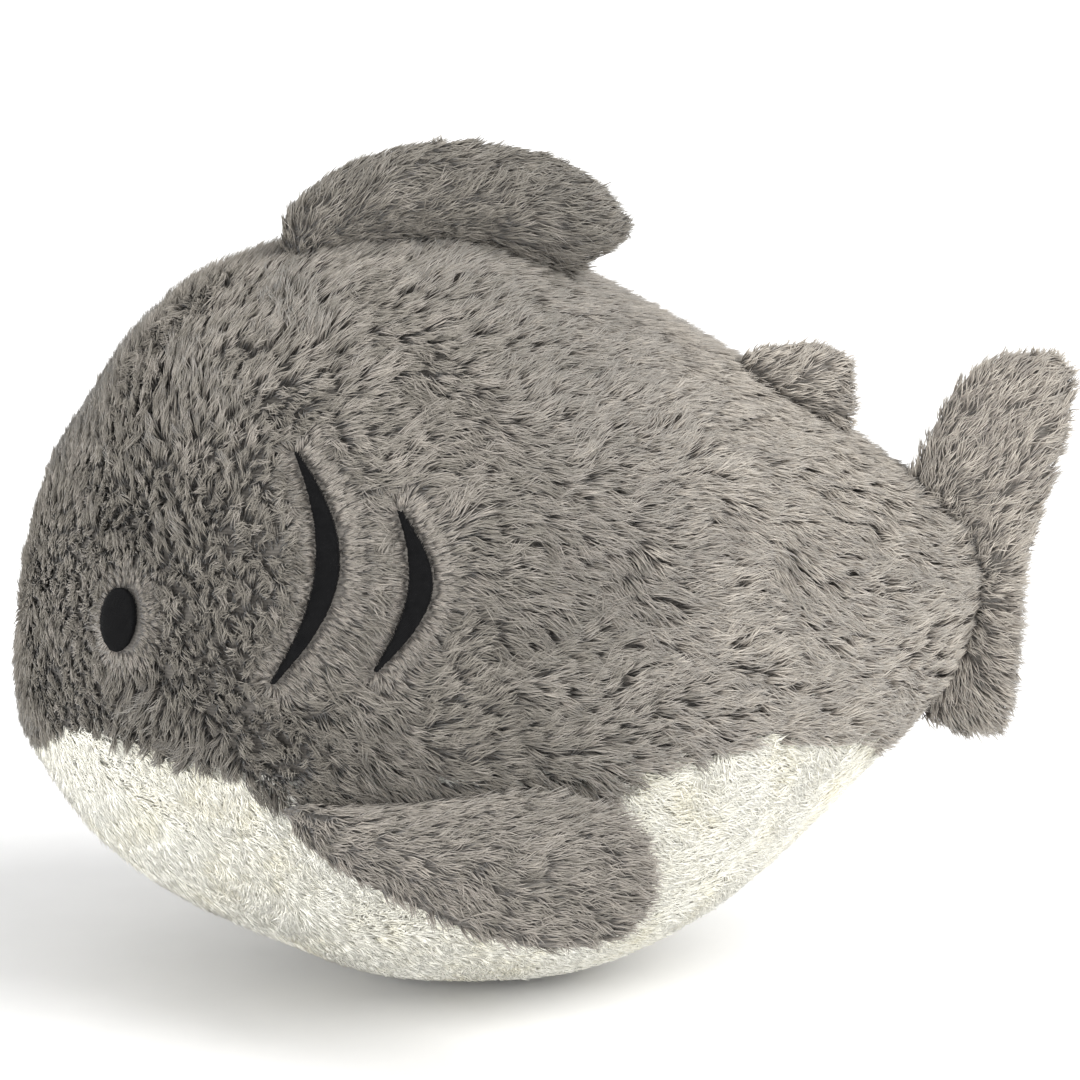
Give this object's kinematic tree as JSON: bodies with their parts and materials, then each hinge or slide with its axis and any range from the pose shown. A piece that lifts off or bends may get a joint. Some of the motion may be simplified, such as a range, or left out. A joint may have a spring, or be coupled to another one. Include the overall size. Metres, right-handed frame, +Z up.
{
  "type": "plush shark",
  "caption": "Round sewn plush shark in long grey pile with a cream belly, stitched eyes and gill slits, and five soft stuffed fins hinged at their root seams.",
  "frame": {"origin": "on the floor under the middle of the shark's bounding box, in its plane of symmetry", "axes": "+Z up, the head faces -Y and the tail +Y, and the shark's own left side is +X"},
  "size_m": [0.371, 0.395, 0.317],
  "materials": {
    "grey_plush": "long two-tone pile, soft and dull",
    "white_plush": "long cream pile, soft and dull",
    "black_satin_stitch": "dense satin stitching, slight sheen",
    "grey_thread": "twisted polyester sewing thread",
    "fibre_fill": "loose curled polyester fibre"
  },
  "bodies": {
    "shark_body": {"body_stuffing": "fibre_fill", "left_side_panel": "grey_plush", "right_side_panel": "grey_plush", "belly_panel": "white_plush", "back_seam_thread": "grey_thread", "left_belly_seam_thread": "grey_thread", "right_belly_seam_thread": "grey_thread", "closing_stitches": "grey_thread", "left_eye": "black_satin_stitch", "right_eye": "black_satin_stitch", "left_front_gill": "black_satin_stitch", "left_rear_gill": "black_satin_stitch", "right_front_gill": "black_satin_stitch", "right_rear_gill": "black_satin_stitch", "dorsal_fin_root_thread": "grey_thread", "second_dorsal_fin_root_thread": "grey_thread", "tail_fin_root_thread": "grey_thread", "left_pectoral_root_thread": "grey_thread", "right_pectoral_root_thread": "grey_thread"},
    "dorsal_fin": {"dorsal_fin_left_cover": "grey_plush", "dorsal_fin_right_cover": "grey_plush", "dorsal_fin_stuffing": "fibre_fill"},
    "second_dorsal_fin": {"second_dorsal_fin_left_cover": "grey_plush", "second_dorsal_fin_right_cover": "grey_plush", "second_dorsal_fin_stuffing": "fibre_fill"},
    "tail_fin": {"tail_fin_left_cover": "grey_plush", "tail_fin_right_cover": "grey_plush", "tail_fin_stuffing": "fibre_fill"},
    "left_pectoral_fin": {"left_pectoral_upper_cover": "grey_plush", "left_pectoral_lower_cover": "grey_plush", "left_pectoral_stuffing": "fibre_fill"},
    "right_pectoral_fin": {"right_pectoral_upper_cover": "grey_plush", "right_pectoral_lower_cover": "grey_plush", "right_pectoral_stuffing": "fibre_fill"}
  },
  "joints": [
    {"name": "dorsal_fin_flop", "type": "hinge", "parent": "shark_body", "child": "dorsal_fin", "pos_m": [0, -0.044, 0.2845], "axis": [0, 1, 0], "range_deg": [-30, 30], "stiffness_Nm_per_rad": 0.05},
    {"name": "second_dorsal_fin_flop", "type": "hinge", "parent": "shark_body", "child": "second_dorsal_fin", "pos_m": [0, 0.0953, 0.2197], "axis": [0, 0.8293, -0.5587], "range_deg": [-30, 30], "stiffness_Nm_per_rad": 0.05},
    {"name": "tail_fin_swing", "type": "hinge", "parent": "shark_body", "child": "tail_fin", "pos_m": [0, 0.1678, 0.143], "axis": [0, 0, 1], "range_deg": [-35, 35], "stiffness_Nm_per_rad": 0.05},
    {"name": "left_pectoral_flap", "type": "hinge", "parent": "shark_body", "child": "left_pectoral_fin", "pos_m": [0.12662, -0.09507, 0.0968], "axis": [-0.1129, -0.9899, -0.0855], "range_deg": [-18, 45], "stiffness_Nm_per_rad": 0.05},
    {"name": "right_pectoral_flap", "type": "hinge", "parent": "shark_body", "child": "right_pectoral_fin", "pos_m": [-0.12662, -0.09507, 0.0968], "axis": [-0.1129, 0.9899, 0.0855], "range_deg": [-18, 45], "stiffness_Nm_per_rad": 0.05}
  ]
}
